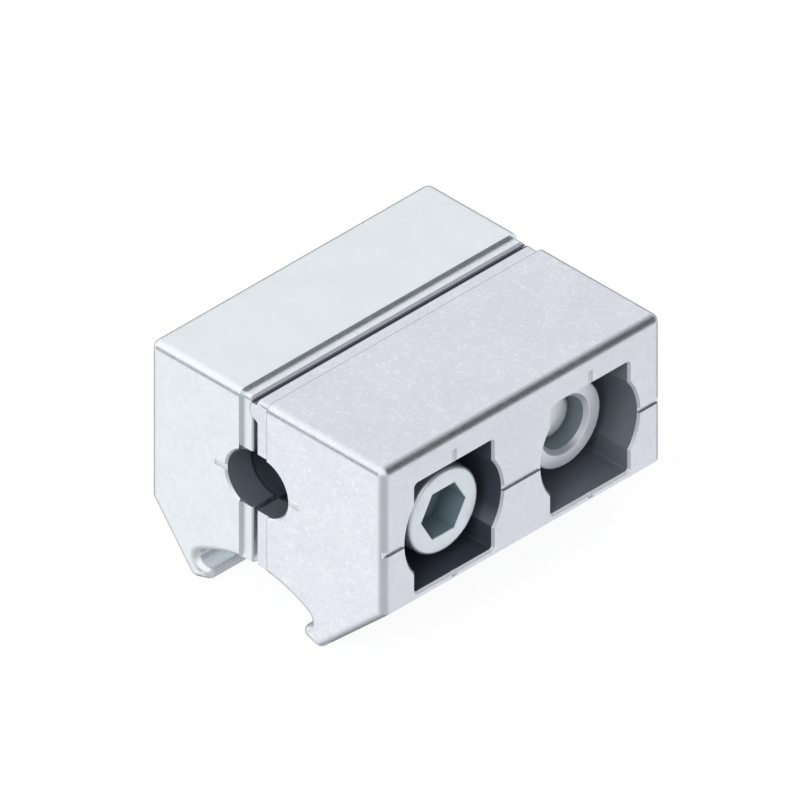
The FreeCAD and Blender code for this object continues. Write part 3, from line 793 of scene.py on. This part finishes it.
# %% Points and faces of a turned part
def turned_points(rings, radii, angles, seat, facing):
    """The seat plus (along, r cos v, r sin v), for every ring and every angle v.

    facing is 1, or -1 for a part turned half round about z, which changes the sign of the
    first two.
    """
    along = np.repeat(rings[:, :1], COLUMNS, axis=1)
    return np.stack([seat[0] + facing * along, seat[1] + facing * radii * np.cos(angles),
                     seat[2] + radii * np.sin(angles)], axis=-1).reshape(-1, 3)


def side_faces(index):
    """Quads between each ring and the next. The last column joins the first."""
    right = np.roll(index, -1, axis=1)
    quads = np.stack([index[:-1], index[1:], right[1:], right[:-1]], axis=-1)
    return quads.reshape(-1, 4).tolist()


def pole_faces(index, first_pole, last_pole):
    """Triangles that close the first and the last ring, each with a point on the axis."""
    right = np.roll(index, -1, axis=1)
    first = np.stack([np.full(COLUMNS, first_pole), index[0], right[0]], axis=-1)
    last = np.stack([np.full(COLUMNS, last_pole), right[-1], index[-1]], axis=-1)
    return np.vstack([first, last]).tolist()


print("points and faces ready")

# %% Rings into a mesh
SHARP_ANGLE = math.radians(32.0)


def turned_mesh(name, rings, seat, facing, closed):
    """The mesh of a row of rings, closed with two poles or, if closed, back on itself."""
    rings = np.asarray(rings, dtype=float)
    angles = np.linspace(0, 2 * np.pi, COLUMNS, endpoint=False)[None, :]
    radii = ring_radii(rings, angles)
    points = turned_points(rings, radii, angles, seat, facing)
    index = np.arange(len(points)).reshape(radii.shape)
    along, reach = np.repeat(rings[:, 0], COLUMNS), radii.ravel()
    if closed:
        faces = side_faces(np.vstack([index, index[:1]]))
    else:
        poles = [(seat[0] + facing * rings[end, 0], seat[1], seat[2]) for end in (0, -1)]
        faces = side_faces(index) + pole_faces(index, len(points), len(points) + 1)
        points = np.vstack([points, poles])
        along = np.append(along, rings[[0, -1], 0])
        reach = np.append(reach, [0.0, 0.0])
    mesh = bpy.data.meshes.new(name)
    mesh.from_pydata((points * MM).tolist(), [], faces)
    for title, values in (("along", along), ("reach", reach)):
        mesh.attributes.new(title, "FLOAT", "POINT").data.foreach_set("value", values)
    mesh.polygons.foreach_set("use_smooth", np.ones(len(mesh.polygons), dtype=bool))
    mesh.set_sharp_from_angle(angle=SHARP_ANGLE)
    return mesh


print("edges sharper than", round(math.degrees(SHARP_ANGLE)), "degrees stay sharp")

# %% [markdown]
# The cap screws
#
# A cap screw has a tall round head with a hexagon socket, a plain shank and a thread at its end.
# The thread could be a coil of its own wound on the shank, but where it fades out it would have
# a loose end to hide. As part of the rings it fades by itself. The rings run from the bottom of
# the socket, up over the head with its soft edge, and down the shank to the thread and the well
# rounded point. The thread's crests stay a hair inside the bush, because the jaws tilt a little
# about the bead.

# %% Rings of a screw's head
HEAD_HEIGHT = 12.0
HEAD_RADIUS = 9.05
HEAD_SOFT = 0.75
HEAD_FOOT = 0.25
SOCKET_HALF = 5.0
SOCKET_DEPTH = 6.0
SOCKET_MOUTH = 0.12
CONE_DEPTH = 1.2
CONE_RADIUS = 4.4
CONE_TIP = 0.4


def head_rings():
    """From the cone under the socket, up over the head, and down to its bearing face."""
    floor_at = HEAD_HEIGHT - SOCKET_DEPTH
    socket = [(floor_at - CONE_DEPTH, CONE_TIP, 0, 0), (floor_at, CONE_RADIUS, 0, 0),
              (floor_at, SOCKET_HALF, 1, 0), (HEAD_HEIGHT - SOCKET_MOUTH, SOCKET_HALF, 1, 0),
              (HEAD_HEIGHT, SOCKET_HALF + SOCKET_MOUTH, 1, 0)]
    edge = quarter(HEAD_HEIGHT - HEAD_SOFT, HEAD_RADIUS - HEAD_SOFT, HEAD_SOFT, 90, 0)
    foot = [(HEAD_FOOT, HEAD_RADIUS, 0, 0), (0.0, HEAD_RADIUS - HEAD_FOOT, 0, 0)]
    return socket + edge + foot


print("head rings:", len(head_rings()))

# %% Rings of its shank, thread and point
SHANK_RADIUS = 6.0
SHANK_END = -28.6
NECK = 0.3
RUN_OUT = 0.7
THREAD_START = 0.9
THREAD_STOP = 0.2
THREAD_ROOT = 4.62
THREAD_DEPTH = 0.38
THREAD_STEPS = 14
SCREW_END = -35.0
POINT_SOFT = 1.5


def shank_rings():
    """Down the shank from the head, along the thread and round the point."""
    shank = [(0.0, SHANK_RADIUS + NECK, 0, 0), (-NECK, SHANK_RADIUS, 0, 0),
             (SHANK_END, SHANK_RADIUS, 0, 0), (SHANK_END - RUN_OUT, THREAD_ROOT, 0, 0)]
    threaded = np.arange(SHANK_END - THREAD_START, SCREW_END + POINT_SOFT + THREAD_STOP,
                         -THREAD_PITCH / THREAD_STEPS)
    thread = [(place, THREAD_ROOT, 0, THREAD_DEPTH) for place in threaded]
    crest = THREAD_ROOT + THREAD_DEPTH
    return shank + thread + quarter(SCREW_END + POINT_SOFT, crest - POINT_SOFT, POINT_SOFT, 0, -90)


screw_rings = head_rings() + shank_rings()
print("screw rings:", len(screw_rings))

# %% [markdown]
# The bushes
#
# A bush is a thick ring that takes the thread of the opposite screw, with a countersunk mouth.
# It could be a tube with a boolean cut for the countersink, but a boolean leaves long thin faces
# that shade badly. So its rings run once round its section and close on themselves: from the
# seat up the bore, over the countersink and the face, and down the outside.

# %% Rings of a bush
BUSH_RADIUS = 9.1
BUSH_HEIGHT = 8.3
BUSH_SOFT = 0.4
BUSH_FOOT = 0.15
BUSH_BORE = 5.45
BUSH_MOUTH = 0.85
MOUTH_DROP = 0.1
MOUTH_WIDER = 0.05

bush_rings = [(0.0, BUSH_BORE, 0, 0), (BUSH_HEIGHT - BUSH_MOUTH, BUSH_BORE, 0, 0),
              (BUSH_HEIGHT - MOUTH_DROP, BUSH_BORE + BUSH_MOUTH - MOUTH_DROP, 0, 0),
              (BUSH_HEIGHT, BUSH_BORE + BUSH_MOUTH + MOUTH_WIDER, 0, 0)]
bush_rings += quarter(BUSH_HEIGHT - BUSH_SOFT, BUSH_RADIUS - BUSH_SOFT, BUSH_SOFT, 90, 0)
bush_rings += [(BUSH_FOOT, BUSH_RADIUS, 0, 0), (0.0, BUSH_RADIUS - BUSH_FOOT, 0, 0)]
print("bush rings:", len(bush_rings))

# %% [markdown]
# Plated steel
#
# The screws and bushes are zinc plated: a pale, slightly blue steel with a soft sheen. Turning
# leaves rings on it that are too fine to model, so a wave of the radius gives them as a faint
# bump. The hexagon socket is pressed and the bore cut, and both are given a dark blue-green that
# is painted shade, and the countersink is painted a little darker, as painted shade too. A
# separate material on those faces would end at a hard line. The attributes along and reach say
# where on the part a point lies, so masks can fade one steel into the other. The sockets and
# bores are nearly matt, because mirrored light in a narrow hollow takes very many samples to
# come out clean.

# %% Where on the turning a point lies
HOLLOW_SOFT = 0.05
CUT_END = (0.1, 0.5)


def attribute(tree, title):
    """A number that the turning left on each point, in millimetres."""
    made = add_node(tree, "ShaderNodeAttribute", {"attribute_name": title})
    return made.outputs["Fac"]


def hollow_mask(tree, along, reach, hollow):
    """1 in a socket or bore, given by its two ends along the axis and its greatest radius."""
    start, stop, radius = hollow
    return product(tree, within(tree, along, start, stop, HOLLOW_SOFT),
                   fall(tree, reach, radius - HOLLOW_SOFT, radius + HOLLOW_SOFT))


def cut_end(tree, along):
    """1 on the cut end of a screw."""
    return fall(tree, along, *(SCREW_END + edge for edge in CUT_END))


print("a screw's cut end starts at", SCREW_END + CUT_END[1])

# %% Steel of the turned parts
CUT_STEEL = rgb(0.940, 0.985, 1.000)
STEEL_CLOUD_SCALE = 0.25
STEEL_CLOUD_TONES = (0.975, 1.02)
MOUTH_SHADE = 0.24
HOLLOW_METALLIC = 0.10
HOLLOW_ROUGHER = 0.22
STEEL_SCALE = 1.1
STEEL_ROUGH = (0.30, 0.36)
RING_PITCH = 0.35
RING_WAVE = 2 * math.pi / RING_PITCH
RING_STRENGTH = 0.05
RING_DEPTH = 0.02 * MM


def plated(name, steel, metallic, hollow_painted_shade, hollow, mouth=None):
    """Zinc-plated steel with fine rings, with painted shade in its hollow and its countersink.

    mouth is the least and the greatest radius of the countersink.
    """
    material, tree, shader = new_metal(name)
    place = millimetres(tree)
    along, reach = attribute(tree, "along"), attribute(tree, "reach")
    inside = hollow_mask(tree, along, reach, hollow)
    clouds = noise(tree, place, STEEL_CLOUD_SCALE, CLOUDY)
    tone = ramp(tree, clouds, *NOISE_STEP, *STEEL_CLOUD_TONES)
    if mouth:
        tone = product(tree, tone, less(tree, within(tree, reach, *mouth), MOUTH_SHADE))
    colour = scaled_vector(tree, steel[:3], tone)
    colour = mix_colour(tree, cut_end(tree, along), colour, CUT_STEEL)
    # painted shade: the socket or the bore takes a dark blue-green
    colour = mix_colour(tree, inside, colour, hollow_painted_shade)
    metallic = arithmetic(tree, "MULTIPLY_ADD", inside, HOLLOW_METALLIC - metallic, metallic)
    rough = ramp(tree, noise(tree, place, STEEL_SCALE, FINE), *NOISE_STEP, *STEEL_ROUGH)
    rough = arithmetic(tree, "MULTIPLY_ADD", inside, HOLLOW_ROUGHER, rough)
    turning = arithmetic(tree, "SINE", product(tree, reach, RING_WAVE))
    wear(tree, shader, colour, metallic, rough, turning, RING_STRENGTH, RING_DEPTH)
    return material


print("rings of the turning every", RING_PITCH, "mm")

# %% The two steels
SCREW_STEEL = rgb(0.720, 0.778, 0.842)
SCREW_METALLIC = 0.8
# painted shade in the hexagon socket
SOCKET_PAINTED_SHADE = rgb(0.140, 0.195, 0.232)
SOCKET = (4.0, HEAD_HEIGHT - 0.14, 5.95)  # where it starts and stops, and its radius
BUSH_STEEL = rgb(0.780, 0.810, 0.880)
BUSH_METALLIC = 0.6
# painted shade in the bush's bore
BORE_PAINTED_SHADE = rgb(0.245, 0.305, 0.335)
BORE = (-1.0, BUSH_HEIGHT - BUSH_MOUTH, 5.6)
COUNTERSINK = (BUSH_BORE, BUSH_BORE + BUSH_MOUTH - 0.08)

plated_screw = plated("plated_screw", SCREW_STEEL, SCREW_METALLIC, SOCKET_PAINTED_SHADE, SOCKET)
plated_bush = plated("plated_bush", BUSH_STEEL, BUSH_METALLIC, BORE_PAINTED_SHADE, BORE, COUNTERSINK)
print("steels:", plated_screw.name, plated_bush.name)

# %% [markdown]
# Seating the turned parts
#
# On the real block each screw's head and the bush beside it stand on seats at the same depth of
# their jaw. The turned parts could be placed by numbers copied from the drawing, but those would
# go wrong when the drawing changes. So each is made where the CAD node that it stands for lies:
# on that node's axis, and on the seat that the frame's boxes give. A screw rides on its own
# body, because it turns, and a bush rides on the jaw that it sits in.

# %% Seat the turned parts
def seat_turned(node, rings, material, slot, seat_x, facing, closed, body):
    """Turns a part on the seat of the CAD node that it stands for, and lets it ride there."""
    low, high = box_mm(node)
    seat = (seat_x, (low.y + high.y) / 2, (low.z + high.z) / 2)
    mesh = turned_mesh(node + "_turned", rings, seat, facing, closed)
    mesh.materials.append(material)
    piece = bpy.data.objects.new(node + "_turned", mesh)
    bpy.context.collection.objects.link(piece)
    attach(piece, body)
    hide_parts(node)
    print(piece.name, "on", body, "with", len(mesh.polygons), "faces")


wide_seat = screw_high.x - HEAD_HEIGHT
narrow_seat = box_mm("rear_screw")[0].x + HEAD_HEIGHT
screw = (screw_rings, plated_screw, "screw_steel")
bush = (bush_rings, plated_bush, "bush_steel")
seat_turned("front_screw", *screw, wide_seat, 1, False, "front_screw")
seat_turned("rear_screw", *screw, narrow_seat, -1, False, "rear_screw")
seat_turned("rear_bush", *bush, wide_seat, 1, True, "wide_half")
seat_turned("front_bush", *bush, narrow_seat, -1, True, "narrow_half")
